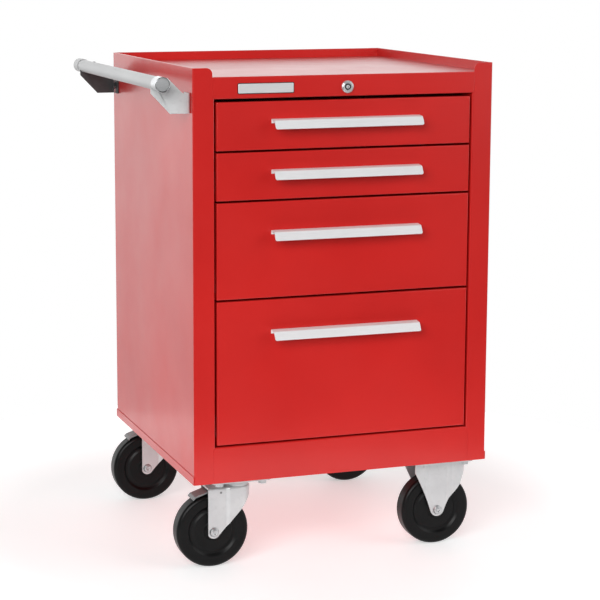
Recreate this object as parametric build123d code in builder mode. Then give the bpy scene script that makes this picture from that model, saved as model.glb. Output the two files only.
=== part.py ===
from build123d import *
import os
from math import cos, radians, sin

# Rolling tool cabinet: a folded-steel body with four drawers on telescopic slides, one lock
# that works all drawers, a push handle on the left side and four casters (left pair swivels
# and has brakes, right pair is rigid).
# Millimetres, +Z up from the floor, front towards -Y, handle towards -X. The origin is on the
# floor, under the middle of the whole outline, so the body's own centre plane is at X = CX.

# ---- Driving dimensions ---------------------------------------------------------------------
BODY_WIDTH = 533.4          # 21 in
BODY_DEPTH = 508.0          # 20 in
BODY_BOTTOM = 154.2
RIM_TOP = 849.5
SHEET = 1.2                 # body sheet
BEND = 2.0                  # outer bend radius of the body sheet

TRAY_TOP = 834.5
OPENING_HALF = 229.9        # half width of the drawer opening
OPENING_LOW = 215.9
OPENING_HIGH = 798.6
SEAM_HALF = 233.0           # where header and bottom rail meet the posts
SEAM_GAP = 0.15
RETURN_DEPTH = 40.0         # post flange that carries the slides
HEM = 3.6                   # width of the folded rim
HEM_GAP = 0.1
POST_CORNER = 10.0
PAN_LIP = 168.5             # top of the base pan's upturned edge
TRAY_FLANGE = 15.0
HEADER_FLANGE = 18.0        # header's top flange, level with the tray
RAIL_FLANGE = 25.0
MITRE_GAP = 0.4

FRONT_DEPTH = 14.0
FRONT_HALF = 225.9
DRAWERS = ((713.6, 793.2), (631.1, 710.1), (466.4, 627.6), (219.3, 462.7))
PULL_DROP = (28.3, 28.5, 47.0, 49.7)   # pull's back edge below the top of its drawer front
PULL_HALF = 131.5
PULL_SHEET = 1.5
PULL_CORNER = 3.0
PULL_BEND = 2.8
PULL_FLANGE = 7.5
PULL_TOP = (16.4, 1.9)      # out and down to the pull's front bend
PULL_FACE = (8.0, 13.4)     # out and down over the pull's sloping face

BOX_HALF = 217.2
BOX_SHEET = 1.0
BOX_REAR = 200.0
SLIDE_LENGTH = 430.0
SLIDE_SHEET = 1.2

LOCK_X = 1.6
LOCK_Z = 814.2
LOCK_BARREL = 8.0
LOCK_HOLE = 8.2
BEZEL_RADIUS = 10.4
BEZEL_OUT = 5.0             # how far the bezel stands out of the header
KEY_SLOT = (0.9, 3.6)       # half width and half height
CRANK = 8.0                 # crank radius; the bar drops by sqrt(2) times this
PIN_RADIUS = 2.5

PLATE_X = (-190.0, -92.0)   # blank plate on the header, from the body's centre plane
PLATE_Z = (806.0, 824.0)

TUBE_X = 324.0
TUBE_Z = 826.0
TUBE_RADIUS = 11.1
TUBE_END = 277.5
CAP_RADIUS = 12.4
CAP_END = 281.0
BRACKET_Y = 243.0
BRACKET_SHEET = 3.0
BRACKET_Z = (776.0, 809.0, 834.0)   # lower edge, top of the flange, top beside the tube
BRACKET_REACH = 333.0       # bracket's nose from the body's centre plane
BRACKET_FLANGE = 28.0

CHANNEL_X = 187.0
SWIVEL_X = 181.0            # swivel axes, left of the body's centre plane
RIGID_X = 187.0             # rigid axles, right of it
RIGID_PLATE = 8.0           # rigid plate's centre beyond its axle
CASTER_Y = 211.0
WHEEL_RADIUS = 63.5         # 5 in wheel
WHEEL_HALF = 16.0
HUB_HALF = 19.0
SHOULDER = 6.0              # round between the tread and the rim
AXLE_RADIUS = 5.0
TRAIL = 44.5                # swivel axis to axle
LEG_OUT = 22.0              # fork leg's outer face beside the wheel
LEG_SHEET = 2.5
LEG_BEND = 3.0              # soft bend where a leg steps sideways
LEG_TIP = 11.5              # round end of a leg, about the axle
FORK_LOW = 45.0
CROWN_SHEET = 3.0
CROWN_BEND = 3.5
SWIVEL_LEG = ((-54.5, 22.0), (-22.7, 22.0), (-16.4, 24.3))    # from the swivel axis: along, out
SWIVEL_WRAP = 24.3
RIGID_LEG = ((-43.0, 23.6), (-24.0, 23.6), (-19.0, 22.0), (17.0, 22.0), (22.0, 23.4), (27.0, 23.4),
             (31.0, 24.4))
RIGID_WRAP = 59.0           # rear of the rigid fork beyond its axle
PLATE_SHEET = 3.0
PLATE_SIZE = (105.0, 80.0)
BOLT_GRID = (76.0, 66.0)
RUNNING = 0.08              # radial clearance of turning fits

# ---- Derived places -------------------------------------------------------------------------
CX = (TUBE_X + CAP_RADIUS - BODY_WIDTH / 2 - SHEET) / 2
FRONT = -BODY_DEPTH / 2
REAR = BODY_DEPTH / 2
LEFT = CX - BODY_WIDTH / 2
MIDDLE = Plane.YZ.offset(CX)
BOX_FRONT = FRONT + FRONT_DEPTH
DROP = 2 * CRANK * sin(radians(45))
PLATE_LOW = BODY_BOTTOM - PLATE_SHEET
INSIDE_HALF = BODY_WIDTH / 2 - SHEET
BACK_INNER = REAR - 2 * SHEET
TRAY_LOW = TRAY_TOP - SHEET
RIM_LEG_LOW = TRAY_LOW - TRAY_FLANGE

os.makedirs("parts", exist_ok=True)


# ---- Helpers --------------------------------------------------------------------------------
def save(piece, name):
    """Label one finished piece and write it under its node name."""
    piece.label = name
    export_step(piece, f"parts/{name}.step")


def slab(x, y, z, mode=Mode.ADD):
    """Rectangular block between three pairs of limits, in the part being built."""
    with Locations(((x[0] + x[1]) / 2, (y[0] + y[1]) / 2, (z[0] + z[1]) / 2)):
        Box(x[1] - x[0], y[1] - y[0], z[1] - z[0], mode=mode)


def rod(axis, centre, span, radius, mode=Mode.ADD):
    """Round bar along X, Y or Z; centre gives the other two coordinates in X, Y, Z order."""
    planes = {"X": Plane.YZ.offset(span[0]), "Y": Plane.XZ.offset(-span[1]), "Z": Plane.XY.offset(span[0])}
    with BuildSketch(planes[axis]) as disc:
        with Locations(centre):
            Circle(radius)
    extrude(disc.sketch, amount=span[1] - span[0], mode=mode)


def hexagon(axis, centre, span, radius):
    """Hexagonal head or nut along X or Z; radius is measured across the corners."""
    planes = {"X": Plane.YZ.offset(span[0]), "Z": Plane.XY.offset(span[0])}
    with BuildSketch(planes[axis]) as head:
        with Locations(centre):
            RegularPolygon(radius, 6)
    extrude(head.sketch, amount=span[1] - span[0])


def folded(plane, points, bend, thick, length, side=Side.LEFT):
    """Folded sheet: the outer line of its section, thickened to one side and extruded."""
    with BuildSketch(plane) as section:
        with BuildLine():
            FilletPolyline(*points, radius=bend)
            offset(amount=thick, side=side)
        make_face()
    extrude(section.sketch, amount=length)


def outline(plane, points, length, mode):
    """Prism of a closed outline of straight lines."""
    with BuildSketch(plane) as shape:
        with BuildLine():
            Polyline(*points, close=True)
        make_face()
    extrude(shape.sketch, amount=length, mode=mode)


def mirrored(piece, plane):
    """The same piece of the other hand."""
    with BuildPart() as twin:
        mirror(piece, about=plane)
    return twin.part


def caster_bolts_at(x, y):
    """Centres of the four bolts of one caster plate."""
    return [(x + i * BOLT_GRID[0] / 2, y + j * BOLT_GRID[1] / 2) for i in (-1, 1) for j in (-1, 1)]


# ---- Body: side panels, each folded round into its front post ----------------------------------
def side_panel():
    """Left side: rear flange, side, post and slide flange in one sheet, with a hemmed rim."""
    inner = CX - OPENING_HALF
    seam = CX - SEAM_HALF
    mitre = OPENING_HALF - SEAM_HALF
    with BuildPart() as panel:
        plan = ((LEFT + 20, REAR), (LEFT, REAR), (LEFT, FRONT), (inner, FRONT), (inner, FRONT + RETURN_DEPTH))
        folded(Plane.XY.offset(BODY_BOTTOM), plan, BEND, SHEET, RIM_TOP - BODY_BOTTOM)
        # The sheet turns inwards and down at the rim, and the tray is welded to its inner leg.
        rim_y = (FRONT + SHEET, REAR - SHEET)
        slab((LEFT + SHEET / 2, LEFT + HEM), rim_y, (RIM_TOP - SHEET, RIM_TOP))
        slab((LEFT + HEM - SHEET, LEFT + HEM), rim_y, (RIM_LEG_LOW, RIM_TOP))
        # Header and bottom rail replace the inner edge of the post; the corners are mitred.
        high = ((seam, RIM_TOP + 1), (seam, OPENING_HIGH - mitre), (inner, OPENING_HIGH),
                (inner + 1, OPENING_HIGH), (inner + 1, RIM_TOP + 1))
        low = ((seam, BODY_BOTTOM - 1), (seam, OPENING_LOW + mitre), (inner, OPENING_LOW),
               (inner + 1, OPENING_LOW), (inner + 1, BODY_BOTTOM - 1))
        for cut in (high, low):
            outline(Plane.XZ.offset(-FRONT - RETURN_DEPTH - 1), cut, RETURN_DEPTH + 2, Mode.SUBTRACT)
        # Only the post's face reaches down past the base pan.
        slab((LEFT - 1, inner + 1), (FRONT + SHEET, REAR + 1), (BODY_BOTTOM - 1, BODY_BOTTOM + SHEET),
             Mode.SUBTRACT)
        post_corner = panel.edges().filter_by(Axis.Y).sort_by_distance((seam, FRONT + SHEET / 2, RIM_TOP))[0]
        fillet(post_corner, radius=POST_CORNER)
    return panel.part


HANDLE_BOLT_Y = BRACKET_Y - 16
HANDLE_BOLT_Z = (784.0, 801.0)
HANDLE_BOLT_RADIUS = 3.0
handle_bolt_spots = [(y, z) for y in (-HANDLE_BOLT_Y, HANDLE_BOLT_Y) for z in HANDLE_BOLT_Z]

plain_side = side_panel()
with BuildPart() as left_side_panel:
    add(plain_side)
    for spot in handle_bolt_spots:
        rod("X", spot, (LEFT - 1, LEFT + SHEET + 1), HANDLE_BOLT_RADIUS + 0.2, Mode.SUBTRACT)
save(left_side_panel.part, "left_side_panel")
save(mirrored(plain_side, MIDDLE), "right_side_panel")

# ---- Back panel, hemmed like the sides ----------------------------------------------------------
BACK_HALF = BODY_WIDTH / 2 - HEM - HEM_GAP
RIM_BEND = 1.7
with BuildPart() as back_panel:
    section = ((REAR - SHEET, BODY_BOTTOM + SHEET), (REAR - SHEET, RIM_TOP),
               (REAR - SHEET - HEM, RIM_TOP), (REAR - SHEET - HEM, RIM_LEG_LOW))
    folded(Plane.YZ.offset(CX - BACK_HALF), section, RIM_BEND, SHEET, 2 * BACK_HALF)
save(back_panel.part, "back_panel")

# ---- Top tray: flat sheet between the rims, edges turned down, front edge joggled under the header -----
tray_x = (CX - BODY_WIDTH / 2 + HEM, CX + BODY_WIDTH / 2 - HEM)
tray_y = (FRONT + HEADER_FLANGE + HEM_GAP, REAR - SHEET - HEM)
LIP_START = 4.0
with BuildPart() as top_tray:
    slab(tray_x, tray_y, (TRAY_LOW, TRAY_TOP))
    slab(tray_x, (tray_y[1] - SHEET, tray_y[1]), (RIM_LEG_LOW, TRAY_LOW))
    lip = (CX - SEAM_HALF + 1, CX + SEAM_HALF - 1)
    slab(lip, (FRONT + LIP_START, tray_y[0] + SHEET), (TRAY_LOW - SHEET, TRAY_LOW))
    for edge, turn in ((tray_x[0], 1), (tray_x[1], -1)):
        slab(sorted((edge, edge + turn * SHEET)), tray_y, (RIM_LEG_LOW, TRAY_LOW))
        ear = sorted((edge, CX - turn * SEAM_HALF))
        slab(ear, (FRONT + SHEET + HEM_GAP, tray_y[0] + SHEET), (TRAY_LOW, TRAY_TOP))
save(top_tray.part, "top_tray")

# ---- Header and bottom rail between the posts ---------------------------------------------------
RAIL_HALF = SEAM_HALF - SEAM_GAP
CORNER_REACH = SEAM_HALF + 3


def rail(section, edge, away):
    """Folded rail between the posts; its ends are mitred where the opening's edge begins."""
    with BuildPart() as bar:
        folded(Plane.YZ.offset(CX - RAIL_HALF), section, BEND, SHEET, 2 * RAIL_HALF)
        for hand in (-1, 1):
            far = CX + hand * CORNER_REACH
            near = CX + hand * (OPENING_HALF - 1 - MITRE_GAP)
            rise = edge + away * (CORNER_REACH - OPENING_HALF + MITRE_GAP)
            corner = ((far, edge - away), (far, rise), (near, edge - away))
            outline(Plane.XZ.offset(-FRONT - RAIL_FLANGE - 5), corner, RAIL_FLANGE + 7, Mode.SUBTRACT)
    return bar.part


with BuildPart() as header:
    add(rail(((FRONT + HEADER_FLANGE, TRAY_TOP), (FRONT, TRAY_TOP), (FRONT, OPENING_HIGH),
              (FRONT + RAIL_FLANGE, OPENING_HIGH)), OPENING_HIGH, 1))
    rod("Y", (CX + LOCK_X, LOCK_Z), (FRONT - 1, FRONT + SHEET + 1), LOCK_HOLE, Mode.SUBTRACT)
save(header.part, "header")

bottom_section = ((FRONT + RAIL_FLANGE, OPENING_LOW), (FRONT, OPENING_LOW), (FRONT, BODY_BOTTOM))
bottom_rail = rail(bottom_section, OPENING_LOW, -1)
save(bottom_rail, "bottom_rail")

# ---- Base pan, its edges turned up outside the body, with a channel under each caster pair -----------
pan_half = BODY_WIDTH / 2 + SHEET
swivel_spots = [(CX - SWIVEL_X, y) for y in (-CASTER_Y, CASTER_Y)]
rigid_spots = [(CX + RIGID_X + RIGID_PLATE, y) for y in (-CASTER_Y, CASTER_Y)]
bolt_spots = [spot for x, y in swivel_spots + rigid_spots for spot in caster_bolts_at(x, y)]
BOLT_RADIUS = 4.0
BOLT_HOLE = 4.2
pan_floor = BODY_BOTTOM + SHEET
with BuildPart() as base_pan:
    slab((CX - pan_half, CX + pan_half), (FRONT + SHEET, REAR + SHEET), (BODY_BOTTOM, pan_floor))
    slab((CX - pan_half, CX + pan_half), (REAR, REAR + SHEET), (BODY_BOTTOM, PAN_LIP))
    for side in (-1, 1):
        edge = sorted((CX + side * pan_half, CX + side * BODY_WIDTH / 2))
        slab(edge, (FRONT, REAR + SHEET), (BODY_BOTTOM, PAN_LIP))
    for spot in bolt_spots:
        rod("Z", spot, (BODY_BOTTOM - 1, pan_floor + 1), BOLT_HOLE, Mode.SUBTRACT)
save(base_pan.part, "base_pan")

CHANNEL_HALF = 60.0
CHANNEL_SHEET = 2.5
CHANNEL_HIGH = 180.0
CHANNEL_BEND = 4.0
CHANNEL_SHORT = 5.0         # channel ends short of the body at front and rear
channel_floor = pan_floor + CHANNEL_SHEET
with BuildPart() as caster_channels:
    for side in (-1, 1):
        x = CX + side * CHANNEL_X
        section = ((x - CHANNEL_HALF, CHANNEL_HIGH), (x - CHANNEL_HALF, pan_floor),
                   (x + CHANNEL_HALF, pan_floor), (x + CHANNEL_HALF, CHANNEL_HIGH))
        folded(Plane.XZ.offset(CHANNEL_SHORT - REAR), section, CHANNEL_BEND, CHANNEL_SHEET,
               BODY_DEPTH - 2 * CHANNEL_SHORT)
    for spot in bolt_spots:
        rod("Z", spot, (pan_floor - 1, channel_floor + 1), BOLT_HOLE, Mode.SUBTRACT)
save(caster_channels.part, "caster_channels")

# ---- Rear uprights that carry the back ends of the slides ------------------------------------------
UPRIGHT_Y = (150.0, 190.0)
UPRIGHT_Z = (185.0, 815.0)
UPRIGHT_SHEET = 1.5
UPRIGHT_BEND = 2.5
with BuildPart() as left_upright:
    outer = CX - INSIDE_HALF
    inner = CX - OPENING_HALF
    plan = ((outer, UPRIGHT_Y[0]), (inner, UPRIGHT_Y[0]), (inner, UPRIGHT_Y[1]), (outer, UPRIGHT_Y[1]))
    folded(Plane.XY.offset(UPRIGHT_Z[0]), plan, UPRIGHT_BEND, UPRIGHT_SHEET, UPRIGHT_Z[1] - UPRIGHT_Z[0])
with BuildPart() as slide_uprights:
    add(left_upright.part)
    mirror(left_upright.part, about=MIDDLE)
save(slide_uprights.part, "slide_uprights")


# ---- Telescopic slides: nested channels, outer on the body, middle, inner on the drawer ---------------
# Distances are measured inwards from the slide flange of the post.
OUTER_SLIDE = (0.0, 10.2, 17.5)    # web face, flange tip, half height
MIDDLE_SLIDE = (2.2, 11.2, 14.8)
INNER_SLIDE = (12.7, 4.4, 12.1)
SLIDE_RISE = 25.0                  # slide centre above the drawer's floor
box_floor = [low + 3.4 for low, high in DRAWERS]
box_top = [high - 17.0 for low, high in DRAWERS]
slide_z = [floor + SLIDE_RISE for floor in box_floor]


def slide_pair(sizes, z):
    """Left and right channel of one slide member at height z."""
    web, tip, half = sizes
    x_web = CX - OPENING_HALF + web
    x_tip = CX - OPENING_HALF + tip
    side = Side.LEFT if tip > web else Side.RIGHT
    section = ((x_tip, z + half), (x_web, z + half), (x_web, z - half), (x_tip, z - half))
    with BuildPart() as left:
        rear = BOX_FRONT + 2 + SLIDE_LENGTH
        folded(Plane.XZ.offset(-rear), section, 1.8, SLIDE_SHEET, SLIDE_LENGTH, side)
    with BuildPart() as pair:
        add(left.part)
        mirror(left.part, about=MIDDLE)
    return pair.part


with BuildPart() as outer_slides:
    for z in slide_z:
        add(slide_pair(OUTER_SLIDE, z))
save(outer_slides.part, "outer_slides")


# ---- Drawers --------------------------------------------------------------------------------------
REAR_WALL_STEP = 5.0        # rear wall stops below the side walls
EDGE_FOLD = 6.0             # side walls turn inwards at the top


def drawer_box(floor, top):
    """Open tray of folded sheet whose side walls turn inwards and down along the top."""
    wall = BOX_HALF - BOX_SHEET
    with BuildPart() as box:
        slab((CX - BOX_HALF, CX + BOX_HALF), (BOX_FRONT, BOX_REAR), (floor, top))
        fillet(box.edges().filter_by(Axis.Y).group_by(Axis.Z)[0], radius=2.5)
        slab((CX - wall, CX + wall), (BOX_FRONT + BOX_SHEET, BOX_REAR - BOX_SHEET),
             (floor + BOX_SHEET, top + 1), Mode.SUBTRACT)
        slab((CX - wall, CX + wall), (BOX_REAR - BOX_SHEET, BOX_REAR), (top - REAR_WALL_STEP, top),
             Mode.SUBTRACT)
        for side in (-1, 1):
            fold = sorted((CX + side * wall, CX + side * (BOX_HALF - EDGE_FOLD)))
            lip = sorted((CX + side * (BOX_HALF - EDGE_FOLD), CX + side * (BOX_HALF - EDGE_FOLD + BOX_SHEET)))
            slab(fold, (BOX_FRONT + BOX_SHEET, BOX_REAR), (top - BOX_SHEET, top))
            slab(lip, (BOX_FRONT + BOX_SHEET, BOX_REAR), (top - 5, top))
    return box.part


def drawer_front(low, high):
    """Shallow pan that closes the opening, flush with the body."""
    with BuildPart() as front:
        slab((CX - FRONT_HALF, CX + FRONT_HALF), (FRONT, BOX_FRONT), (low, high))
        fillet(front.faces().sort_by(Axis.Y)[0].edges(), radius=1.6)
        offset(amount=-SHEET, openings=front.faces().sort_by(Axis.Y)[-1])
    return front.part


def pull(z):
    """Bent grip: flange on the drawer front, top out, then a face sloping out and down."""
    bend_y = FRONT - PULL_TOP[0]
    bend_z = z - PULL_TOP[1]
    section = ((FRONT, z - PULL_FLANGE), (FRONT, z), (bend_y, bend_z),
               (bend_y - PULL_FACE[0], bend_z - PULL_FACE[1]))
    with BuildPart() as grip:
        folded(Plane.YZ.offset(CX - PULL_HALF), section, PULL_BEND, PULL_SHEET, 2 * PULL_HALF)
        tips = grip.faces().sort_by(Axis.Z)[0].edges().filter_by(Axis.X, reverse=True)
        fillet(tips, radius=PULL_CORNER)
    return grip.part


for number, (low, high) in enumerate(DRAWERS):
    name = f"drawer_{number + 1}"
    save(drawer_box(box_floor[number], box_top[number]), f"{name}_box")
    save(drawer_front(low, high), f"{name}_front")
    save(pull(high - PULL_DROP[number]), f"{name}_pull")
    save(slide_pair(MIDDLE_SLIDE, slide_z[number]), f"{name}_middle_slides")
    save(slide_pair(INNER_SLIDE, slide_z[number]), f"{name}_inner_slides")

# ---- Lock: key plug, long rod with a crank, and a bar that hooks the rear walls -------------------------
lock_x = CX + LOCK_X
PLUG_RADIUS = 5.5
PLUG_REAR = FRONT + 28
CRANK_Y = 216.0
BAR_Y = (222.0, 225.0)
BAR_HALF = 14.0
HOOK_Y = 188.0
with BuildPart() as lock_housing:
    rod("Y", (lock_x, LOCK_Z), (FRONT, PLUG_REAR), LOCK_BARREL)
    rod("Y", (lock_x, LOCK_Z), (FRONT - BEZEL_OUT, FRONT), BEZEL_RADIUS)
    fillet(lock_housing.faces().sort_by(Axis.Y)[0].edges(), radius=1.2)
    rod("Y", (lock_x, LOCK_Z), (FRONT - BEZEL_OUT - 1, PLUG_REAR + 1), PLUG_RADIUS + RUNNING, Mode.SUBTRACT)
save(lock_housing.part, "lock_housing")

with BuildPart() as lock_plug:
    rod("Y", (lock_x, LOCK_Z), (FRONT - BEZEL_OUT + 0.6, PLUG_REAR), PLUG_RADIUS)
    slab((lock_x - KEY_SLOT[0], lock_x + KEY_SLOT[0]), (FRONT - BEZEL_OUT, FRONT + 10),
         (LOCK_Z - KEY_SLOT[1], LOCK_Z + KEY_SLOT[1]), Mode.SUBTRACT)
save(lock_plug.part, "lock_plug")

pin_x = lock_x + CRANK * cos(radians(45))
pin_z = LOCK_Z + CRANK * sin(radians(45))
with BuildPart() as lock_rod:
    rod("Y", (lock_x, LOCK_Z), (PLUG_REAR, CRANK_Y + 1), 4.0)
    with BuildSketch(Plane.XZ.offset(-CRANK_Y - 3)) as arm:
        with Locations((lock_x, LOCK_Z)):
            Circle(6.5)
        with Locations((pin_x, pin_z)):
            Circle(4.5)
        make_hull()
    extrude(amount=3)
    rod("Y", (pin_x, pin_z), (CRANK_Y + 2, BAR_Y[1] + 2), PIN_RADIUS)
save(lock_rod.part, "lock_rod")

# The crank pin runs in a level slot in the bar. Each hook stands over a drawer's rear wall, and
# its lip drops inside that wall when the bar comes down.
SLOT_PLAY = 0.6
with BuildPart() as lock_bar:
    slab((lock_x - BAR_HALF, lock_x + BAR_HALF), BAR_Y, (190, LOCK_Z + 14))
    slot_x = (pin_x - PIN_RADIUS - SLOT_PLAY, lock_x + CRANK + PIN_RADIUS + SLOT_PLAY)
    slot_z = (pin_z - PIN_RADIUS - SLOT_PLAY, pin_z + PIN_RADIUS + SLOT_PLAY)
    slab(slot_x, (BAR_Y[0] - 1, BAR_Y[1] + 1), slot_z, Mode.SUBTRACT)
    for top in box_top:
        wall = top - REAR_WALL_STEP
        arm_z = wall + DROP + 1.5
        slab((lock_x - 8, lock_x + 8), (HOOK_Y, BAR_Y[0]), (arm_z, arm_z + 3))
        slab((lock_x - 8, lock_x + 8), (HOOK_Y, HOOK_Y + 3), (wall + 3, arm_z))
save(lock_bar.part, "lock_bar")

GUIDE_Z = (300.0, 540.0)
HANGER_Y = 205.0
with BuildPart() as lock_guides:
    for z in GUIDE_Z:
        out = BAR_HALF + 2.5
        plan = ((lock_x - out, BACK_INNER), (lock_x - out, BAR_Y[0] - 3), (lock_x + out, BAR_Y[0] - 3),
                (lock_x + out, BACK_INNER))
        folded(Plane.XY.offset(z), plan, 2.5, 1.5, 20)
    slab((lock_x - 12, lock_x + 12), (HANGER_Y, HANGER_Y + 2), (LOCK_Z - 9, TRAY_LOW))
    rod("Y", (lock_x, LOCK_Z), (HANGER_Y - 1, HANGER_Y + 3), 4.4, Mode.SUBTRACT)
save(lock_guides.part, "lock_guides")

# ---- Blank name plate on the header ------------------------------------------------------------------
with BuildPart() as name_plate:
    slab((CX + PLATE_X[0], CX + PLATE_X[1]), (FRONT - 1, FRONT), PLATE_Z)
    fillet(name_plate.edges().filter_by(Axis.Y), radius=2.5)
    fillet(name_plate.faces().sort_by(Axis.Y)[0].edges(), radius=0.4)
save(name_plate.part, "name_plate")

# ---- Push handle -----------------------------------------------------------------------------------------
tube_x = CX - TUBE_X
with BuildPart() as handle_tube:
    rod("Y", (tube_x, TUBE_Z), (-TUBE_END, TUBE_END), TUBE_RADIUS)
    rod("Y", (tube_x, TUBE_Z), (-TUBE_END - 1, TUBE_END + 1), TUBE_RADIUS - 1.5, Mode.SUBTRACT)
save(handle_tube.part, "handle_tube")

CAP_SKIRT = 28.0
with BuildPart() as front_cap:
    rod("Y", (tube_x, TUBE_Z), (-CAP_END, -CAP_END + CAP_SKIRT), CAP_RADIUS)
    fillet(front_cap.faces().sort_by(Axis.Y)[0].edges(), radius=2.4)
    rod("Y", (tube_x, TUBE_Z), (-TUBE_END, -CAP_END + CAP_SKIRT + 1), TUBE_RADIUS + 0.1, Mode.SUBTRACT)
with BuildPart() as handle_caps:
    add(front_cap.part)
    mirror(front_cap.part, about=Plane.XZ)
save(handle_caps.part, "handle_caps")

# Each bracket is a plate that cradles the tube, folded into a flange bolted to the side panel.
with BuildPart() as front_handle_bracket:
    nose = CX - BRACKET_REACH
    foot, step, top = BRACKET_Z
    plan = ((nose, -BRACKET_Y), (LEFT, -BRACKET_Y), (LEFT, -BRACKET_Y + BRACKET_FLANGE))
    folded(Plane.XY.offset(foot), plan, 5.0, BRACKET_SHEET, top - foot)
    profile = ((LEFT, foot), (nose + 32, foot), (nose, foot + 33.6), (nose, TUBE_Z - 6), (tube_x, TUBE_Z),
               (tube_x + 6, top), (nose + 28, top), (LEFT - 13, step), (LEFT, step))
    outline(Plane.XZ.offset(BRACKET_Y - BRACKET_FLANGE - 2), profile, BRACKET_FLANGE + 4, Mode.INTERSECT)
    rod("Y", (tube_x, TUBE_Z), (-BRACKET_Y - 1, -BRACKET_Y + 5), TUBE_RADIUS + 0.2, Mode.SUBTRACT)
    for z in HANDLE_BOLT_Z:
        rod("X", (-HANDLE_BOLT_Y, z), (LEFT - 5, LEFT + 1), HANDLE_BOLT_RADIUS + 0.2, Mode.SUBTRACT)
save(front_handle_bracket.part, "front_handle_bracket")
save(mirrored(front_handle_bracket.part, Plane.XZ), "rear_handle_bracket")

with BuildPart() as handle_bolts:
    for spot in handle_bolt_spots:
        face = LEFT - BRACKET_SHEET
        rod("X", spot, (face, LEFT + 8), HANDLE_BOLT_RADIUS)
        hexagon("X", spot, (face - 4, face), 5.8)
save(handle_bolts.part, "handle_bolts")

with BuildPart() as handle_nuts:
    for spot in handle_bolt_spots:
        hexagon("X", spot, (LEFT + SHEET, LEFT + SHEET + 5), 5.8)
    for spot in handle_bolt_spots:
        rod("X", spot, (LEFT, LEFT + SHEET + 6), HANDLE_BOLT_RADIUS + 0.1, Mode.SUBTRACT)
save(handle_nuts.part, "handle_nuts")

# ---- Casters ------------------------------------------------------------------------------------
KINGPIN = 6.0
RACE_LOW = 144.4            # bottom of the fixed race
CROWN = (140.0 - CROWN_SHEET, 140.0)  # top plate of the swivel fork
ENDS = (("front", -CASTER_Y), ("rear", CASTER_Y))
swivel_x = CX - SWIVEL_X
rigid_x = CX + RIGID_X
swivel_axle_x = swivel_x - TRAIL
BRAKE_PIVOT = (-32.0, 131.5)  # from the swivel axis, above the floor
TRUNNION = 2.0


def plate_with_holes(x, y):
    """Caster mounting plate with rounded corners and its four bolt holes."""
    with BuildPart() as plate:
        with BuildSketch(Plane.XY.offset(PLATE_LOW)):
            with Locations((x, y)):
                RectangleRounded(PLATE_SIZE[0], PLATE_SIZE[1], 6)
            with Locations(*caster_bolts_at(x, y)):
                Circle(BOLT_HOLE, mode=Mode.SUBTRACT)
        extrude(amount=PLATE_SHEET)
    return plate.part


with BuildPart() as swivel_plates:
    for end, y in ENDS:
        add(plate_with_holes(swivel_x, y))
        rod("Z", (swivel_x, y), (PLATE_LOW - 1, BODY_BOTTOM + 1), KINGPIN + 0.1, Mode.SUBTRACT)
save(swivel_plates.part, "swivel_plates")

with BuildPart() as swivel_races:
    for end, y in ENDS:
        with BuildSketch(Plane.YZ.offset(swivel_x)) as section:
            with BuildLine():
                Polyline((y + KINGPIN + 0.1, PLATE_LOW), (y + 25, PLATE_LOW), (y + 25, PLATE_LOW - 2),
                         (y + 22.5, RACE_LOW), (y + KINGPIN + 0.1, RACE_LOW), close=True)
            make_face()
        revolve(section.sketch, axis=Axis((swivel_x, y, 0), (0, 0, 1)))
save(swivel_races.part, "swivel_races")

with BuildPart() as kingpins:
    for end, y in ENDS:
        rod("Z", (swivel_x, y), (CROWN[0] - 4.6, BODY_BOTTOM), KINGPIN)
        rod("Z", (swivel_x, y), (CROWN[0] - 4.6, CROWN[0] - 0.3), 10)
save(kingpins.part, "kingpins")


def axle(x, y):
    """Riveted axle with a domed head outside each fork leg."""
    ends = (y - LEG_OUT - 4.5, y + LEG_OUT + 4.5)
    with BuildPart() as shaft:
        rod("Y", (x, WHEEL_RADIUS), ends, 8.5)
        fillet(shaft.edges().filter_by(GeomType.CIRCLE), radius=3.4)
        with BuildSketch(Plane.XZ.offset(-y - LEG_OUT)) as waist:
            with Locations((x, WHEEL_RADIUS)):
                Circle(9)
                Circle(AXLE_RADIUS, mode=Mode.SUBTRACT)
        extrude(waist.sketch, amount=2 * LEG_OUT, mode=Mode.SUBTRACT)
    return shaft.part


def wheel(x, y):
    """Solid rubber wheel: wide hub, raised web, an annular groove and a rounded rim."""
    bore = AXLE_RADIUS + RUNNING
    half = ((HUB_HALF, bore), (HUB_HALF, 13.5), (14.6, 16.5), (14.6, 33.0), (12.6, 37.0), (12.6, 40.5),
            (WHEEL_HALF, 45.0), (WHEEL_HALF, WHEEL_RADIUS))
    other = [(-a, r) for a, r in reversed(half)]
    with BuildPart() as body:
        with BuildSketch(Plane.YZ.offset(x)) as section:
            with BuildLine():
                Polyline(*[(y + a, WHEEL_RADIUS + r) for a, r in (*half, *other)], close=True)
            make_face()
            fillet(section.vertices().group_by(Axis.Y)[-1], radius=SHOULDER)
        revolve(section.sketch, axis=Axis((x, y, WHEEL_RADIUS), (0, 1, 0)))
    return body.part


def fork_plan(y, leg, rear_x):
    """Closed plan of a fork: legs that step sideways, then a half round behind the wheel."""
    wrap = leg[-1][1]
    straight = (rear_x - wrap, wrap)
    with BuildSketch(Plane.XY.offset(FORK_LOW)) as plan:
        with BuildLine():
            FilletPolyline(*[(x, y - out) for x, out in (*leg, straight)], radius=LEG_BEND)
            ThreePointArc((straight[0], y - wrap), (rear_x, y), (straight[0], y + wrap))
            FilletPolyline(*[(x, y + out) for x, out in (straight, *reversed(leg))], radius=LEG_BEND)
            Line((leg[0][0], y + leg[0][1]), (leg[0][0], y - leg[0][1]))
        make_face()
    return plan.sketch


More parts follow.
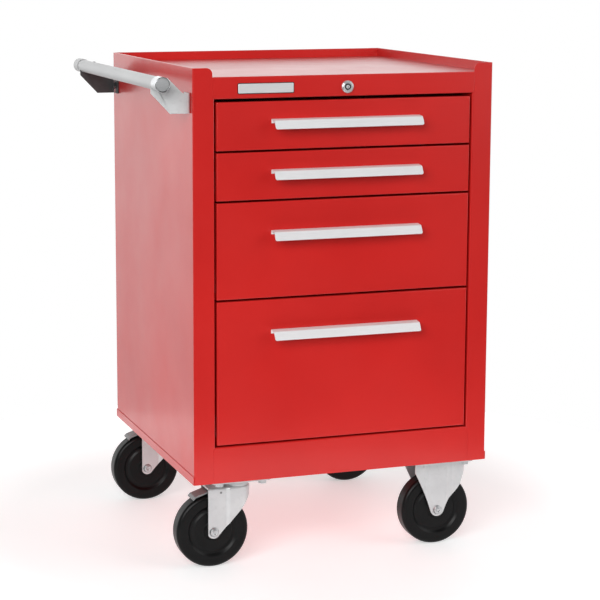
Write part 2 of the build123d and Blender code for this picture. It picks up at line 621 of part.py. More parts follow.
def pressed_fork(axle_x, y, leg, rear_x, top, side_view):
    """Sheet fork, hollow below its crown, cut to the outline that its side shows."""
    inside = [(x, out - LEG_SHEET) for x, out in leg]
    inside[0] = (inside[0][0] - 1, inside[0][1])
    with BuildPart() as fork:
        extrude(fork_plan(y, leg, rear_x), amount=top - FORK_LOW)
        crown_edges = fork.faces().sort_by(Axis.Z)[-1].edges()
        fillet(crown_edges.filter_by(lambda edge: edge.center().X > leg[0][0] + 1), radius=CROWN_BEND)
        hollow = fork_plan(y, inside, rear_x - LEG_SHEET)
        extrude(hollow, amount=top - CROWN_SHEET - FORK_LOW, mode=Mode.SUBTRACT)
        with BuildSketch(Plane.XZ.offset(-y - 2 * LEG_OUT)) as view:
            with BuildLine():
                Polyline(*side_view)
                ThreePointArc(side_view[-1], (axle_x, WHEEL_RADIUS - LEG_TIP), side_view[0])
            make_face()
        extrude(view.sketch, amount=4 * LEG_OUT, mode=Mode.INTERSECT)
        rod("Y", (axle_x, WHEEL_RADIUS), (y - 30, y + 30), AXLE_RADIUS + 0.1, Mode.SUBTRACT)
    return fork.part


def swivel_fork(y):
    """Fork that turns on the kingpin, with a raised race on its crown and holes for the brake."""
    x = swivel_x
    leg = [(x + along, out) for along, out in SWIVEL_LEG]
    rear_x = x + SWIVEL_WRAP
    side_view = ((swivel_axle_x - 11, WHEEL_RADIUS), (leg[0][0], 70), (leg[0][0], 160), (rear_x + 1, 160),
                 (rear_x + 1, 127), (x + 6, 102.5), (swivel_axle_x + 9.2, WHEEL_RADIUS - 6))
    with BuildPart() as fork:
        add(pressed_fork(swivel_axle_x, y, leg, rear_x, CROWN[1], side_view))
        rod("Z", (x, y), (CROWN[0] + 1, RACE_LOW - 0.4), 22)
        rod("Z", (x, y), (CROWN[0] - 1, RACE_LOW + 1), KINGPIN + RUNNING, Mode.SUBTRACT)
        rod("Y", (x + BRAKE_PIVOT[0], BRAKE_PIVOT[1]), (y - 30, y + 30), TRUNNION + RUNNING, Mode.SUBTRACT)
    return fork.part


def brake_pedal(y):
    """Foot lever on trunnions between the fork legs; its plate lies over the tread."""
    pivot = (swivel_x + BRAKE_PIVOT[0], BRAKE_PIVOT[1])
    with BuildPart() as pedal:
        rod("Y", pivot, (y - LEG_OUT + LEG_SHEET + 0.4, y + LEG_OUT - LEG_SHEET - 0.4), 3.6)
        rod("Y", pivot, (y - LEG_OUT, y + LEG_OUT), TRUNNION)
        points = ((pivot[0], pivot[1] + 2.6), (pivot[0] - 22, 132.9), (pivot[0] - 44, 125.8),
                  (pivot[0] - 48.5, 120.9))
        folded(Plane.XZ.offset(-y - 15), points, 4.0, 2.6, 30, Side.LEFT)
    return pedal.part


for end, y in ENDS:
    save(swivel_fork(y), f"{end}_left_fork")
    save(axle(swivel_axle_x, y), f"{end}_left_axle")
    save(wheel(swivel_axle_x, y), f"{end}_left_wheel")
    save(brake_pedal(y), f"{end}_left_brake_pedal")
    save(wheel(rigid_x, y), f"{end}_right_wheel")

with BuildPart() as rigid_axles:
    for end, y in ENDS:
        add(axle(rigid_x, y))
save(rigid_axles.part, "rigid_axles")


def rigid_fork(y):
    """Fork of the same pressing welded under its own mounting plate."""
    x = rigid_x
    leg = [(x + along, out) for along, out in RIGID_LEG]
    rear_x = x + RIGID_WRAP
    side_view = ((x - 11.8, WHEEL_RADIUS - 3), (x - 18.5, 80), (x - 28, 102), (leg[0][0], 134),
                 (leg[0][0], 160), (rear_x + 1, 160), (rear_x + 1, 144), (x + 42, 106), (x + 21, 82.6),
                 (x + 11.5, WHEEL_RADIUS - 4))
    with BuildPart() as fork:
        add(plate_with_holes(x + RIGID_PLATE, y))
        add(pressed_fork(x, y, leg, rear_x, PLATE_LOW, side_view))
    return fork.part


with BuildPart() as rigid_forks:
    for end, y in ENDS:
        add(rigid_fork(y))
save(rigid_forks.part, "rigid_forks")

with BuildPart() as caster_bolts:
    for spot in bolt_spots:
        rod("Z", spot, (PLATE_LOW, channel_floor + 9), BOLT_RADIUS)
        hexagon("Z", spot, (PLATE_LOW - 5, PLATE_LOW), 7.4)
save(caster_bolts.part, "caster_bolts")

with BuildPart() as caster_nuts:
    for spot in bolt_spots:
        hexagon("Z", spot, (channel_floor, channel_floor + 6.5), 7.4)
    for spot in bolt_spots:
        rod("Z", spot, (channel_floor - 1, channel_floor + 8), BOLT_RADIUS + 0.1, Mode.SUBTRACT)
save(caster_nuts.part, "caster_nuts")
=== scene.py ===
import math

import bmesh
import bpy
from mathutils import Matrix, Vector


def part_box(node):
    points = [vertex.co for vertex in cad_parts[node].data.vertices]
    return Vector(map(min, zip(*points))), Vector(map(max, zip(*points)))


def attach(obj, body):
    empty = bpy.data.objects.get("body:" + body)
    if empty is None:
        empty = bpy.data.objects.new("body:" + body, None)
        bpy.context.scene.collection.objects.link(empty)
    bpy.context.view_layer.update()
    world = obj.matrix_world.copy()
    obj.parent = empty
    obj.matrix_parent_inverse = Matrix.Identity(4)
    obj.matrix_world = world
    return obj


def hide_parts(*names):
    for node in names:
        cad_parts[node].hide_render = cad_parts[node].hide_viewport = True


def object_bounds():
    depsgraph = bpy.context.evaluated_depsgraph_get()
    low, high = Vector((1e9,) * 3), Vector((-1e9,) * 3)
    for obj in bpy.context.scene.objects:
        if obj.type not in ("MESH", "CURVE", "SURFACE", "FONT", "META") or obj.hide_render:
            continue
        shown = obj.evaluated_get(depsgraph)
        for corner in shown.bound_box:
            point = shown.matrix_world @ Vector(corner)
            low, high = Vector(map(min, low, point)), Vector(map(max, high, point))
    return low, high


# Rolling tool cabinet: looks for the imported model. Metres, in the model's own frame: +Z up from
# the floor, front towards -Y, push handle towards -X.

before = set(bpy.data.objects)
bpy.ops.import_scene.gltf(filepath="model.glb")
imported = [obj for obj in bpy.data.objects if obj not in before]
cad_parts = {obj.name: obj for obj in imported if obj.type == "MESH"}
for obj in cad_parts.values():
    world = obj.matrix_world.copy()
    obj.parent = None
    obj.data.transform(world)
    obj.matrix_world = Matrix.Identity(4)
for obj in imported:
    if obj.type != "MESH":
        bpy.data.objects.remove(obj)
cad_box = [list(corner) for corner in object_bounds()]

MM = 0.001
CORNERS = ("front_left", "rear_left", "front_right", "rear_right")
FLOOR_RADIUS = 0.95
FLOOR_STEPS = 128
WELD_REACH = 0.000004
SHARP_BEVEL = math.radians(40)
SHARP_SHADE = math.radians(38)

# Camera, as far and as low as in a catalogue picture.
CAMERA_PLACE = (-1.1154, -3.1723, 1.0368)
CAMERA_TURN = math.radians(18.496)
CAMERA_PITCH = math.radians(9.439)
CAMERA_LENS = 113.13
CAMERA_SHIFT = (0.088, -0.06)


# ---- Node helpers ---------------------------------------------------------------------------
def add_node(tree, kind, sockets=None, **settings):
    """One node: its properties, then its inputs, each set to a value or linked to an output."""
    made = tree.nodes.new(kind)
    for key, value in settings.items():
        setattr(made, key, value)
    for key, value in (sockets or {}).items():
        if isinstance(value, bpy.types.NodeSocket):
            tree.links.new(value, made.inputs[key])
        else:
            made.inputs[key].default_value = value
    return made


def noise(tree, place, scale, detail=3.0, stretch=(1, 1, 1), roughness=0.5):
    """Noise from 0 to 1 in object space; scale is in waves per metre."""
    mapped = add_node(tree, "ShaderNodeMapping", {"Vector": place, "Scale": stretch})
    sockets = {"Vector": mapped.outputs[0], "Scale": scale, "Detail": detail, "Roughness": roughness}
    return add_node(tree, "ShaderNodeTexNoise", sockets).outputs["Fac"]


def ranged(tree, value, low, high, start=0.3, stop=0.7):
    """Value between start and stop, mapped to between low and high."""
    sockets = {"Value": value, "From Min": start, "From Max": stop, "To Min": low, "To Max": high}
    return add_node(tree, "ShaderNodeMapRange", sockets).outputs[0]


def mixed(tree, factor, first, second):
    """Colour between two colours."""
    made = add_node(tree, "ShaderNodeMix", data_type="RGBA")
    for key, value in ((0, factor), (6, first), (7, second)):
        if isinstance(value, bpy.types.NodeSocket):
            tree.links.new(value, made.inputs[key])
        else:
            made.inputs[key].default_value = value if key == 0 else (*value, 1)
    return made.outputs[2]


def edge_mask(tree, radius, start, stop):
    """1 along outer and inner edges of the shape, 0 on its flats."""
    rounded = add_node(tree, "ShaderNodeBevel", {"Radius": radius}, samples=4)
    flat = add_node(tree, "ShaderNodeNewGeometry")
    dot = add_node(tree, "ShaderNodeVectorMath", operation="DOT_PRODUCT")
    tree.links.new(rounded.outputs[0], dot.inputs[0])
    tree.links.new(flat.outputs["Normal"], dot.inputs[1])
    return ranged(tree, dot.outputs["Value"], 1.0, 0.0, start, stop)


def begin(name):
    """Empty material with its tree and object-space coordinates."""
    material = bpy.data.materials.new(name)
    material.use_nodes = True
    tree = material.node_tree
    tree.nodes.clear()
    place = add_node(tree, "ShaderNodeTexCoord").outputs["Object"]
    return material, tree, place


def finish_material(tree, colour, roughness, bump, constants):
    """Principled shader with its linked colour and roughness, layered bump and constant values."""
    normal = None
    for height, strength, depth in bump:
        sockets = {"Height": height, "Strength": strength, "Distance": depth}
        if normal is not None:
            sockets["Normal"] = normal
        normal = add_node(tree, "ShaderNodeBump", sockets).outputs[0]
    sockets = {"Base Color": colour, "Roughness": roughness, "Normal": normal, **constants}
    surface = add_node(tree, "ShaderNodeBsdfPrincipled", sockets)
    add_node(tree, "ShaderNodeOutputMaterial", {"Surface": surface.outputs[0]})


# ---- Materials --------------------------------------------------------------------------------
def powder_coat(name, deep, bright, coat=0.6, coat_roughness=0.18, peel=0.35):
    """Semi-gloss powder coat: orange peel, faint cloudiness, and painted lighter along edges as a painted
    highlight.
    """
    material, tree, place = begin(name)
    cloud = noise(tree, place, 4.0, 4.0)
    speck = noise(tree, place, 1400.0, 2.0)
    colour = mixed(tree, ranged(tree, cloud, 0.0, 1.0), deep, bright)
    colour = mixed(tree, ranged(tree, speck, 0.0, 0.10, 0.45, 0.75), colour, [c * 0.55 for c in deep])
    # Painted highlight: the colour turns lighter along edges, where light catches.
    painted_highlight_edges = edge_mask(tree, 0.0011, 0.86, 0.995)
    painted_highlight_tone = [min(1, c * 1.25 + 0.015) for c in bright]
    colour = mixed(tree, ranged(tree, painted_highlight_edges, 0.0, 0.22, 0.0, 1.0), colour, painted_highlight_tone)
    rough = ranged(tree, noise(tree, place, 9.0, 5.0), 0.36, 0.46)
    waves = noise(tree, place, 420.0, 2.0)
    grit = noise(tree, place, 1900.0, 2.0)
    bump = ((waves, peel, 0.0003), (grit, 0.10, 0.0001))
    constants = {"Coat Weight": coat, "Coat Roughness": coat_roughness, "Coat IOR": 1.5, "IOR": 1.45,
                 "Specular IOR Level": 0.3}
    finish_material(tree, colour, rough, bump, constants)
    return material


def brushed_metal(name, dark, light, rough, along=(0.02, 1, 1), grain=0.12, metallic=1.0):
    """Satin metal with a fine grain drawn along one axis, painted brighter along the edges as a painted
    highlight.
    """
    material, tree, place = begin(name)
    strands = noise(tree, place, 2600.0, 3.0, along)
    cloud = noise(tree, place, 14.0, 4.0)
    colour = mixed(tree, ranged(tree, strands, 0.0, 1.0), dark, light)
    colour = mixed(tree, ranged(tree, cloud, 0.0, 0.25), colour, [c * 0.9 for c in dark])
    # Painted highlight: the colour turns brighter along edges.
    painted_highlight_edges = edge_mask(tree, 0.0009, 0.85, 0.99)
    colour = mixed(tree, ranged(tree, painted_highlight_edges, 0.0, 0.5, 0.0, 1.0), colour, [min(1, c * 1.1) for c in light])
    roughness = ranged(tree, strands, rough - 0.05, rough + 0.07)
    bump = ((strands, grain, 0.00008), (noise(tree, place, 60.0, 2.0), 0.04, 0.0004))
    finish_material(tree, colour, roughness, bump, {"Metallic": metallic})
    return material


def plated_steel(name, dark, light, rough, spangle=90.0, soil=0.15, metallic=1.0):
    """Zinc plate: patchy passivation, faint spangle, small scratches, a little soil in random patches, and
    painted lighter along edges as a painted highlight.
    """
    material, tree, place = begin(name)
    cloud = noise(tree, place, 22.0, 5.0)
    cells = add_node(tree, "ShaderNodeTexVoronoi", {"Vector": place, "Scale": spangle}).outputs["Color"]
    grey = add_node(tree, "ShaderNodeRGBToBW", {"Color": cells}).outputs[0]
    colour = mixed(tree, ranged(tree, cloud, 0.0, 1.0), dark, light)
    colour = mixed(tree, ranged(tree, grey, 0.0, 0.10, 0.2, 0.8), colour, [c * 0.86 for c in dark])
    # Painted highlight: the colour turns lighter along edges.
    painted_highlight_edges = edge_mask(tree, 0.0012, 0.80, 0.99)
    dirt = noise(tree, place, 120.0, 4.0)
    colour = mixed(tree, ranged(tree, dirt, 0.0, soil, 0.55, 0.8), colour, (0.20, 0.19, 0.17))
    colour = mixed(tree, ranged(tree, painted_highlight_edges, 0.0, 0.45, 0.0, 1.0), colour, [min(1, c * 1.12) for c in light])
    scratch = noise(tree, place, 900.0, 3.0, (1, 1, 0.03))
    roughness = ranged(tree, cloud, rough - 0.05, rough + 0.08)
    bump = ((scratch, 0.12, 0.00006), (noise(tree, place, 160.0, 3.0), 0.06, 0.0002))
    finish_material(tree, colour, roughness, bump, {"Metallic": metallic})
    return material


def chrome_plate(name):
    """Bright chrome with faint haze and hairline marks."""
    material, tree, place = begin(name)
    haze = noise(tree, place, 70.0, 4.0)
    colour = mixed(tree, ranged(tree, haze, 0.0, 1.0), (0.52, 0.53, 0.55), (0.64, 0.65, 0.66))
    hair = noise(tree, place, 1800.0, 2.0, (1, 0.05, 1))
    roughness = ranged(tree, haze, 0.07, 0.15)
    finish_material(tree, colour, roughness, ((hair, 0.05, 0.00004),), {"Metallic": 1.0})
    return material


def wheel_rubber(name):
    """Hard black rubber: moulded skin, dusty bloom, random paler scuffs, and painted paler along edges as a
    painted highlight.
    """
    material, tree, place = begin(name)
    bloom = noise(tree, place, 26.0, 5.0)
    colour = mixed(tree, ranged(tree, bloom, 0.0, 1.0), (0.0022, 0.0022, 0.0024), (0.0042, 0.0042, 0.0044))
    scuff = noise(tree, place, 380.0, 4.0)
    # Painted highlight: the rubber turns paler along edges.
    painted_highlight_edges = edge_mask(tree, 0.0022, 0.80, 0.99)
    colour = mixed(tree, ranged(tree, scuff, 0.0, 0.35, 0.5, 0.85), colour, (0.014, 0.0137, 0.0130))
    colour = mixed(tree, ranged(tree, painted_highlight_edges, 0.0, 0.30, 0.0, 1.0), colour, (0.020, 0.020, 0.020))
    roughness = ranged(tree, bloom, 0.28, 0.40)
    bump = ((noise(tree, place, 520.0, 3.0), 0.10, 0.0002), (scuff, 0.06, 0.0003))
    finish_material(tree, colour, roughness, bump, {"IOR": 1.5, "Specular IOR Level": 0.17})
    return material


def floor_material():
    """Plain white floor that glows a little, more so towards its rim."""
    material, tree, place = begin("floor_white")
    tone = ranged(tree, noise(tree, place, 3.0, 2.0), 0.0, 1.0)
    colour = mixed(tree, tone, (0.80, 0.80, 0.80), (0.84, 0.84, 0.84))
    grit = noise(tree, place, 300.0, 2.0)
    reach = add_node(tree, "ShaderNodeVectorMath", {0: place}, operation="LENGTH").outputs["Value"]
    strength = ranged(tree, reach, 0.42, 0.80, 0.50, 0.93)
    glow = {"Emission Color": (1, 1, 1, 1), "Emission Strength": strength}
    finish_material(tree, colour, ranged(tree, grit, 0.55, 0.65), ((grit, 0.02, 0.0001),), glow)
    return material


RED_DEEP = (0.560, 0.0120, 0.0100)
RED_BRIGHT = (0.630, 0.0165, 0.0135)
materials = {
    "body_paint": powder_coat("body_paint_red", RED_DEEP, RED_BRIGHT),
    "plate_blank": brushed_metal("plate_blank_satin", (0.70, 0.70, 0.71), (0.82, 0.82, 0.83), 0.42,
                                 metallic=0.3),
    "slide_steel": plated_steel("slide_steel_zinc", (0.52, 0.53, 0.54), (0.66, 0.67, 0.68), 0.32, soil=0.4),
    "pull_metal": brushed_metal("pull_metal_satin", (0.79, 0.80, 0.81), (0.89, 0.90, 0.91), 0.42,
                                metallic=0.15),
    "handle_paint": powder_coat("handle_paint_silver", (0.48, 0.485, 0.49), (0.54, 0.545, 0.55), 0.5, 0.25,
                                0.2),
    "bracket_steel": plated_steel("bracket_steel_zinc", (0.62, 0.635, 0.64), (0.74, 0.755, 0.76), 0.5,
                                  metallic=0.1),
    "chrome": chrome_plate("chrome_bright"),
    "caster_steel": plated_steel("caster_steel_zinc", (0.56, 0.565, 0.575), (0.68, 0.685, 0.69), 0.36,
                                 metallic=0.6),
    "fastener_steel": plated_steel("fastener_steel_zinc", (0.50, 0.51, 0.52), (0.64, 0.65, 0.66), 0.30,
                                   soil=0.3),
    "wheel_rubber": wheel_rubber("wheel_rubber_black"),
    # Pedal zinc painted dark: a painted reflection of the dark cabinet underside on the pedal tops.
    "pedal_steel": plated_steel("pedal_steel_zinc_painted_dark", (0.17, 0.175, 0.18), (0.26, 0.265, 0.27), 0.42, soil=0.3,
                                metallic=0.3),
}
# Darker copy of the bracket zinc for the rear handle bracket: painted shade, since that bracket is the same
# part as the front one.
painted_shade_bracket = plated_steel("bracket_steel_painted_shade", (0.055, 0.058, 0.06), (0.085, 0.088, 0.09), 0.5,
                            metallic=0.3)
cap_disc = brushed_metal("cap_disc_satin", (0.50, 0.51, 0.52), (0.66, 0.67, 0.68), 0.36, metallic=0.6)
plug_face = brushed_metal("plug_face_satin", (0.60, 0.60, 0.61), (0.74, 0.74, 0.75), 0.42, metallic=0.3)
bezel_satin = brushed_metal("bezel_satin", (0.62, 0.63, 0.64), (0.78, 0.79, 0.80), 0.24, metallic=0.55)
# Dark finish of the plate border and the plug ring; on the keyway it is painted shade.
dark_trim_and_keyway_shade = powder_coat("dark_trim_and_painted_keyway_shade", (0.010, 0.010, 0.011), (0.018, 0.018, 0.019), 0.3, 0.3, 0.2)


# ---- Edges of the carried-over parts -------------------------------------------------------------
def smooth_by_angle(limit):
    """Geometry nodes that smooth every face and keep edges sharper than the limit."""
    tree = bpy.data.node_groups.new("smooth_by_angle", "GeometryNodeTree")
    tree.interface.new_socket("Geometry", in_out="INPUT", socket_type="NodeSocketGeometry")
    tree.interface.new_socket("Geometry", in_out="OUTPUT", socket_type="NodeSocketGeometry")
    start = add_node(tree, "NodeGroupInput")
    faces = add_node(tree, "GeometryNodeSetShadeSmooth", {"Geometry": start.outputs[0]}, domain="FACE")
    angle = add_node(tree, "GeometryNodeInputMeshEdgeAngle").outputs["Unsigned Angle"]
    sharp = add_node(tree, "FunctionNodeCompare", operation="GREATER_THAN", data_type="FLOAT")
    tree.links.new(angle, sharp.inputs[0])
    sharp.inputs[1].default_value = limit
    sockets = {"Geometry": faces.outputs[0], "Selection": sharp.outputs[0], "Shade Smooth": False}
    edges = add_node(tree, "GeometryNodeSetShadeSmooth", sockets, domain="EDGE")
    add_node(tree, "NodeGroupOutput", {"Geometry": edges.outputs[0]})
    return tree


SMOOTH = smooth_by_angle(SHARP_SHADE)


def soften(piece, width, steps=2):
    """Small round on every edge of a part, then normals that keep its flats flat."""
    for name in ("custom_normal", "sharp_edge", "sharp_face"):
        if name in piece.data.attributes:
            piece.data.attributes.remove(piece.data.attributes[name])
    weld = piece.modifiers.new("weld", "WELD")
    weld.merge_threshold = WELD_REACH
    if width:
        bevel = piece.modifiers.new("edge_round", "BEVEL")
        bevel.width = width
        bevel.segments = steps
        bevel.limit_method = "ANGLE"
        bevel.angle_limit = SHARP_BEVEL
        bevel.use_clamp_overlap = True
    group = piece.modifiers.new("smooth", "NODES")
    group.node_group = SMOOTH
    weighted = piece.modifiers.new("weighted", "WEIGHTED_NORMAL")
    weighted.keep_sharp = True


# ---- Carried-over parts: finish and softened edges ---------------------------------------------------
ROUNDS = {
    "body_paint": 0.00035,
    "pull_metal": 0.00035,
    "bracket_steel": 0.0005,
    "caster_steel": 0.0005,
    "pedal_steel": 0.0005,
    "fastener_steel": 0.0003,
    "slide_steel": 0.0002,
    "plate_blank": 0.0002,
}
for name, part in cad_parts.items():
    slot = part.data.materials[0].name.split(".")[0]
    part.data.materials.clear()
    # The rear handle bracket takes the darker copy, which paints its shade.
    part.data.materials.append(painted_shade_bracket if name == "rear_handle_bracket" else materials[slot])
    soften(part, ROUNDS.get(slot, 0.0))


# ---- Mesh builders -----------------------------------------------------------------------------------
def rounded(points, steps=5):
    """Line through corner points (along, radius, round), its corners rounded."""
    line = []
    for index, (along, radius, round_) in enumerate(points):
        corner = Vector((along, radius))
        if not round_:
            line.append(corner)
            continue
        back = (Vector(points[index - 1][:2]) - corner).normalized()
        ahead = (Vector(points[(index + 1) % len(points)][:2]) - corner).normalized()
        half = back.angle(ahead) / 2
        centre = corner + (back + ahead).normalized() * (round_ / math.sin(half))
        first = corner + back * (round_ / math.tan(half)) - centre
        last = corner + ahead * (round_ / math.tan(half)) - centre
        for step in range(steps + 1):
            line.append(centre + round_ * first.slerp(last, step / steps).normalized())
    return line


def mesh_piece(name, points, faces, material, body):
    """Shaded mesh piece that rides on a body, with the material it is given."""
    mesh = bpy.data.meshes.new(name)
    mesh.from_pydata(points, [], faces)
    shape = bmesh.new()
    shape.from_mesh(mesh)
    bmesh.ops.recalc_face_normals(shape, faces=shape.faces)
    shape.to_mesh(mesh)
    shape.free()
    piece = bpy.data.objects.new(name, mesh)
    bpy.context.scene.collection.objects.link(piece)
    mesh.materials.append(material)
    soften(piece, 0.0)
    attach(piece, body)
    return piece


def lathe(name, centre, line, material, body, closed=False, steps=96):
    """Turned piece about an axis along Y: a line of (along, radius) in millimetres."""
    points, rings, faces = [], [], []
    for along, radius in line:
        if radius < 0.0001:
            rings.append([len(points)] * steps)
            points.append(centre + Vector((0, along * MM, 0)))
            continue
        rings.append(list(range(len(points), len(points) + steps)))
        for step in range(steps):
            turn = math.tau * step / steps
            points.append(centre + MM * Vector((radius * math.cos(turn), along, radius * math.sin(turn))))
    for one, two in zip(rings, rings[1:] + (rings[:1] if closed else [])):
        for step in range(steps):
            after = (step + 1) % steps
            faces.append(list(dict.fromkeys((one[step], one[after], two[after], two[step]))))
    return mesh_piece(name, points, faces, material, body)


def pressed_plate(name, centre, loops, material, body, steps=6):
    """Plate facing -Y from rounded outlines (half width, half height, corner, out), in millimetres."""
    points, rings, faces = [], [], []
    for wide, high, corner, out in loops:
        ring = []
        for quarter, (across, up) in enumerate(((1, 1), (-1, 1), (-1, -1), (1, -1))):
            for step in range(steps + 1):
                turn = math.pi / 2 * (quarter + step / steps)
                place = (across * (wide - corner) + corner * math.cos(turn), -out,
                         up * (high - corner) + corner * math.sin(turn))
                ring.append(len(points))
                points.append(centre + MM * Vector(place))
        rings.append(ring)
    for one, two in zip(rings, rings[1:]):
        for step, index in enumerate(one):
            after = (step + 1) % len(one)
            faces.append([index, one[after], two[after], two[step]])
    faces.append(rings[-1])
    return mesh_piece(name, points, faces, material, body)


def both_ends(half):
    """Line of a turned piece that is the same at both ends, from the line of one end."""
    return [*half, *[(-along, radius, round_) for along, radius, round_ in reversed(half)]]


def middle_of(node):
    """Centre of a carried-over part's box."""
    low_corner, high_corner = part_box(node)
    return (low_corner + high_corner) / 2


# ---- Wheels: hub, raised web, annular groove, thick rounded rim ------------------------------------
# Half a line through the rubber: (along the axle, radius, rounding), in millimetres.
HALF_WHEEL = ((19, 5.1, 0), (19, 13.4, 1.6), (14.6, 16.8, 1.6), (14.6, 33.0, 2.4), (12.4, 37.2, 2.0),
              (12.4, 40.4, 2.0), (16, 44.6, 2.6), (16, 63.5, 7.0))
wheel_line = rounded(both_ends(HALF_WHEEL), 7)
for corner in CORNERS:
    node = f"{corner}_wheel"
    wheel = lathe(f"{corner}_tyre", middle_of(node), wheel_line, materials["wheel_rubber"], node,
                  closed=True, steps=128)
    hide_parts(node)

# ---- Axles with dimpled rivet heads -----------------------------------------------------------------
HALF_AXLE = ((24.3, 0, 0), (24.3, 2.2, 0.5), (26.5, 3.8, 0.8), (25.9, 6.6, 1.2), (22.4, 8.5, 0.8),
             (22.0, 8.3, 0), (22.0, 5.0, 0))
axle_line = rounded(both_ends(HALF_AXLE), 4)
for corner in CORNERS:
    swivels = corner.endswith("left")
    body = f"{corner}_swivel" if swivels else "cabinet"
    axle = lathe(f"{corner}_rivet", middle_of(f"{corner}_wheel"), axle_line, materials["fastener_steel"],
                 body, steps=48)
    if swivels:
        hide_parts(f"{corner}_axle")
    elif corner == "front_right":
        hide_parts("rigid_axles")

# ---- Handle ends: a chrome sleeve with a satin disc in front, a painted one behind ---------------------
# Both lines are (in from the end of the cap, radius, rounding).
low_cap, high_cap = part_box("handle_caps")
cap_axis = (low_cap + high_cap) / 2
cap_end = (high_cap.y - low_cap.y) / 2 / MM
SLEEVE = ((0, 11.3, 0.3), (0, 12.4, 0.5), (28.0, 12.4, 0.5), (28.0, 11.2, 0), (1.0, 11.2, 0))
DISC = ((0, 0, 0), (0.1, 6.0, 0), (0.6, 10.6, 0.4), (1.8, 10.9, 0), (3.0, 10.9, 0), (3.0, 0, 0))
CAPS = (("front", -1, materials["chrome"], "chrome", cap_disc),
        ("rear", 1, materials["handle_paint"], "handle_paint", materials["handle_paint"]))
for end, side, shell, shell_slot, lid in CAPS:
    sleeve = rounded([(side * (cap_end - inset), radius, round_) for inset, radius, round_ in SLEEVE], 4)
    disc = rounded([(side * (cap_end - inset), radius, round_) for inset, radius, round_ in DISC], 4)
    cap = lathe(f"{end}_cap_sleeve", cap_axis, sleeve, shell, "cabinet", closed=True)
    if end == "front":
        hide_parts("handle_caps")
    lathe(f"{end}_cap_disc", cap_axis, disc, lid, "cabinet")

# ---- Blank plate on the header: satin face in a thin dark border ---------------------------------------
# Both outlines are (inset, corner radius, out from the header).
low_plate, high_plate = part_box("name_plate")
plate_back = Vector(((low_plate.x + high_plate.x) / 2, high_plate.y, (low_plate.z + high_plate.z) / 2))
wide = (high_plate.x - low_plate.x) / 2 / MM
high = (high_plate.z - low_plate.z) / 2 / MM
BORDER = ((0, 2.5, 0), (0, 2.5, 0.5), (0.2, 2.3, 0.7), (1.1, 1.7, 0.7), (1.2, 1.6, 0.4))
FACE = ((1.0, 1.8, 0.05), (1.0, 1.8, 0.3), (2.0, 1.2, 0.9), (2.6, 0.9, 1.0))
border = [(wide - inset, high - inset, corner, out) for inset, corner, out in BORDER]
face = [(wide - inset, high - inset, corner, out) for inset, corner, out in FACE]
plate = pressed_plate("header_plate_border", plate_back, border, dark_trim_and_keyway_shade, "cabinet")
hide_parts("name_plate")
pressed_plate("header_plate_face", plate_back, face, materials["plate_blank"], "cabinet")

# ---- Lock: satin bezel, and a plug with a dark ring round its bright middle ----------------------------
BEZEL_OUT = 5.0
lock_front = middle_of("lock_housing")
lock_front.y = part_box("lock_housing")[0].y + BEZEL_OUT * MM
BEZEL = ((0, 7.9, 0), (0, 10.4, 0), (-3.2, 10.4, 0.8), (-BEZEL_OUT, 8.2, 1.2), (-4.9, 6.4, 0.5),
         (-3.9, 5.7, 0.2), (28.0, 5.7, 0), (28.0, 7.9, 0.3))
bezel = lathe("lock_bezel", lock_front, rounded(BEZEL, 4), bezel_satin, "cabinet", closed=True,
              steps=64)
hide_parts("lock_housing")
PLUG = ((-4.4, 0, 0), (-4.4, 2.9, 0.3), (-2.2, 3.3, 0.2), (-2.2, 4.8, 0.2), (-3.4, 5.5, 0.2),
        (28.0, 5.5, 0.3), (28.0, 0, 0))
plug = lathe("lock_plug_body", lock_front, rounded(PLUG, 3), plug_face, "lock", steps=64)
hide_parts("lock_plug")
RING = ((-2.0, 3.2), (-3.1, 3.2), (-3.1, 5.2), (-2.0, 5.2))
lathe("lock_plug_ring", lock_front, RING, dark_trim_and_keyway_shade, "lock", closed=True, steps=64)
# The keyway is a dark plate just proud of the plug face: painted shade in place of a dark slot.
KEYWAY = ((0.45, 1.9, 0.3, 4.3), (0.45, 1.9, 0.3, 4.42), (0.35, 1.8, 0.25, 4.48))
pressed_plate("lock_keyway", lock_front, KEYWAY, dark_trim_and_keyway_shade, "lock", steps=4)


# ---- Floor, light and camera ---------------------------------------------------------------------------
def floor_disc():
    """Flat round floor under the cabinet."""
    ring = []
    for step in range(FLOOR_STEPS):
        turn = math.tau * step / FLOOR_STEPS
        ring.append((FLOOR_RADIUS * math.cos(turn), FLOOR_RADIUS * math.sin(turn), 0))
    mesh = bpy.data.meshes.new("studio_floor")
    mesh.from_pydata(ring, [], [list(range(FLOOR_STEPS))])
    mesh.materials.append(floor_material())
    piece = bpy.data.objects.new("studio_floor", mesh)
    bpy.context.scene.collection.objects.link(piece)
    return piece


floor_disc()


def soft_light(name, place, size, power):
    """White rectangular softbox that faces the middle of the cabinet."""
    lamp = bpy.data.lights.new(name, "AREA")
    lamp.shape = "RECTANGLE"
    lamp.size, lamp.size_y = size
    lamp.energy = power
    holder = bpy.data.objects.new(name, lamp)
    holder.location = place
    holder.rotation_euler = (middle - Vector(place)).to_track_quat("-Z", "Y").to_euler()
    bpy.context.scene.collection.objects.link(holder)


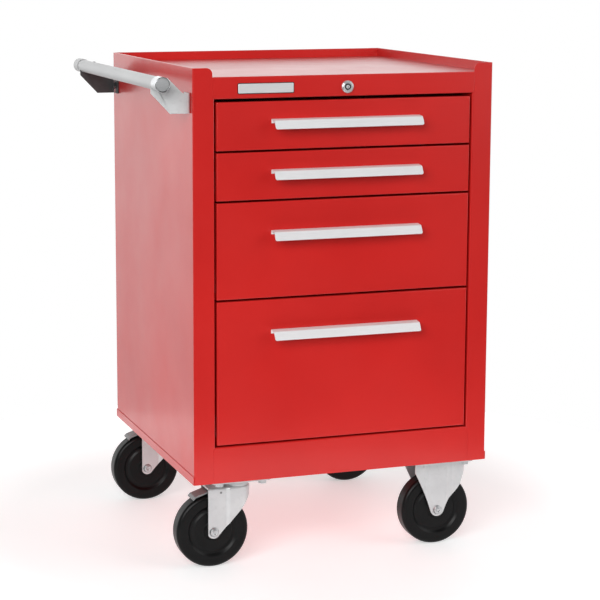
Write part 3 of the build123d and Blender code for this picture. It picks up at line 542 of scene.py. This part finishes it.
low_corner, high_corner = cad_box
middle = (Vector(low_corner) + Vector(high_corner)) / 2
soft_light("key_light", (-2.0, -2.8, 1.9), (2.6, 1.9), 105)
soft_light("fill_light", (2.5, -1.8, 1.5), (3.0, 2.4), 44)
soft_light("top_light", (0.2, 0.4, 3.2), (3.0, 3.0), 13)


def studio_world():
    """White room behind the cabinet, dimmer towards its floor and dark in front of the cabinet."""
    world = bpy.data.worlds.new("studio")
    world.use_nodes = True
    tree = world.node_tree
    tree.nodes.clear()
    direction = add_node(tree, "ShaderNodeTexCoord").outputs["Generated"]
    parts = add_node(tree, "ShaderNodeSeparateXYZ", {"Vector": direction})
    depth = ranged(tree, parts.outputs["Y"], 0.10, 1.36, -0.15, 0.55)
    height = ranged(tree, parts.outputs["Z"], 0.45, 1.0, -0.28, -0.04)
    wall = add_node(tree, "ShaderNodeMath", {0: depth, 1: height}, operation="MULTIPLY").outputs[0]
    ceiling = ranged(tree, parts.outputs["Z"], 1.0, 0.12, 0.26, 0.66)
    glow = add_node(tree, "ShaderNodeMath", {0: wall, 1: ceiling}, operation="MULTIPLY").outputs[0]
    room = add_node(tree, "ShaderNodeBackground", {"Color": (1, 1, 1, 1), "Strength": glow})
    plain = add_node(tree, "ShaderNodeBackground", {"Color": (1, 1, 1, 1), "Strength": 1.0})
    seen = add_node(tree, "ShaderNodeLightPath").outputs["Is Camera Ray"]
    shown = add_node(tree, "ShaderNodeMixShader", {0: seen, 1: room.outputs[0], 2: plain.outputs[0]})
    add_node(tree, "ShaderNodeOutputWorld", {"Surface": shown.outputs[0]})
    return world


scene = bpy.context.scene
scene.world = studio_world()
scene.view_settings.view_transform = "Standard"

camera_data = bpy.data.cameras.new("camera")
camera_data.lens = CAMERA_LENS
camera_data.shift_x, camera_data.shift_y = CAMERA_SHIFT
camera_data.clip_end = 50
camera = bpy.data.objects.new("camera", camera_data)
camera.location = CAMERA_PLACE
camera.rotation_euler = (math.pi / 2 - CAMERA_PITCH, 0, -CAMERA_TURN)
scene.collection.objects.link(camera)
scene.camera = camera
